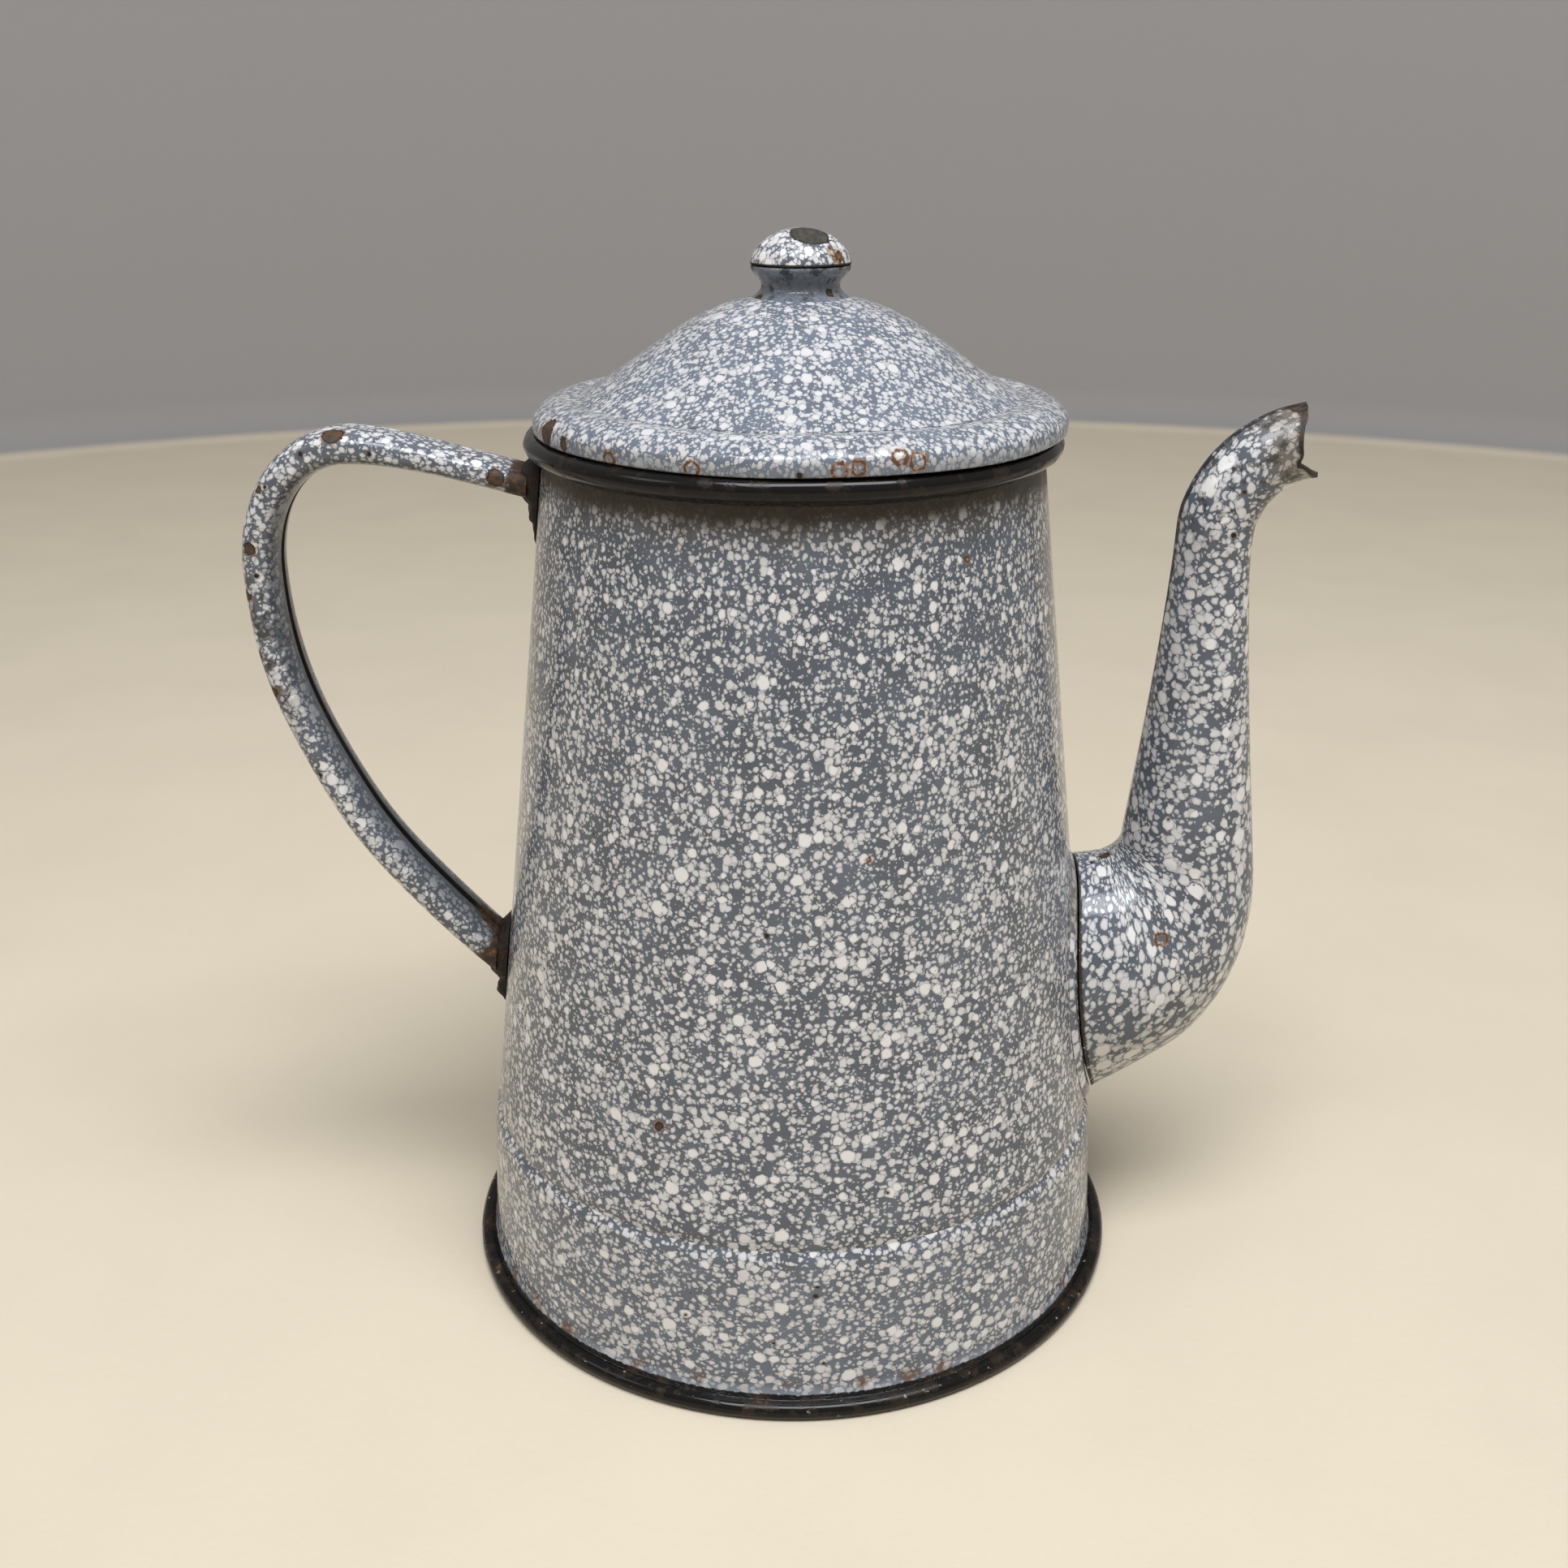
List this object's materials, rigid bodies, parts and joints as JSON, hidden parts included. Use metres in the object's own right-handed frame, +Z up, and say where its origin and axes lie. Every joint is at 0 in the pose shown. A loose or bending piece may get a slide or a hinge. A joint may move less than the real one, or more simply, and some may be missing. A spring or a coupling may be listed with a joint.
{
  "type": "coffee percolator",
  "caption": "Conical enamelled-steel coffee pot with gooseneck spout, rolled strap handle, loose domed lid and a lift-out pump, basket and spreader.",
  "frame": {"origin": "middle of the whole outline on the table plane; the pot's axis stands at x = +3.5 mm", "axes": "+Z up, +X towards the spout, -X towards the handle, -Y towards a viewer with the handle on the left"},
  "size_m": [0.2174, 0.146, 0.2224],
  "materials": {
    "enamel_body": "glossy grey enamel with dense white drops and black rolled edges",
    "enamel_spout": "glossy grey enamel with larger white drops",
    "enamel_handle": "glossy blue-grey enamel with white drops, chipped",
    "enamel_lid": "glossy blue-grey enamel with fine dense white drops",
    "enamel_knob": "glossy enamel, white-speckled cap on a grey neck",
    "enamel_inside": "plain pale grey enamel, stained",
    "rusted_lug": "dark chipped enamel and brown rust",
    "bare_wire": "dull steel",
    "pump_metal": "dull aluminium, coffee stained",
    "basket_metal": "dull aluminium, coffee stained"
  },
  "bodies": {
    "pot": {"body_shell": "enamel_body", "foot_ring": "enamel_body", "base_plate": "enamel_inside", "rim_wire": "bare_wire", "foot_wire": "bare_wire", "spout_near_half": "enamel_spout", "spout_far_half": "enamel_spout", "spout_collar": "enamel_body", "handle_strap": "enamel_handle", "upper_handle_lug": "rusted_lug", "lower_handle_lug": "rusted_lug"},
    "pump": {"pump_tube": "pump_metal", "pump_foot": "pump_metal", "basket_stop": "pump_metal"},
    "basket": {"basket_cup": "basket_metal", "basket_sleeve": "basket_metal"},
    "spreader": {"basket_lid": "basket_metal"},
    "lid": {"lid_shell": "enamel_lid", "lid_collar": "enamel_inside", "knob_neck": "enamel_knob", "knob_cap": "enamel_knob", "knob_rivet": "bare_wire"}
  },
  "joints": [
    {"name": "pump_lift", "type": "slide", "parent": "pot", "child": "pump", "axis": [0, 0, 1], "range_m": [0, 0.16]},
    {"name": "basket_lift", "type": "slide", "parent": "pump", "child": "basket", "axis": [0, 0, 1], "range_m": [0, 0.075]},
    {"name": "spreader_lift", "type": "slide", "parent": "basket", "child": "spreader", "axis": [0, 0, 1], "range_m": [0, 0.035]},
    {"name": "lid_lift", "type": "slide", "parent": "spreader", "child": "lid", "axis": [0, 0, 1], "range_m": [0, 0.06]}
  ]
}
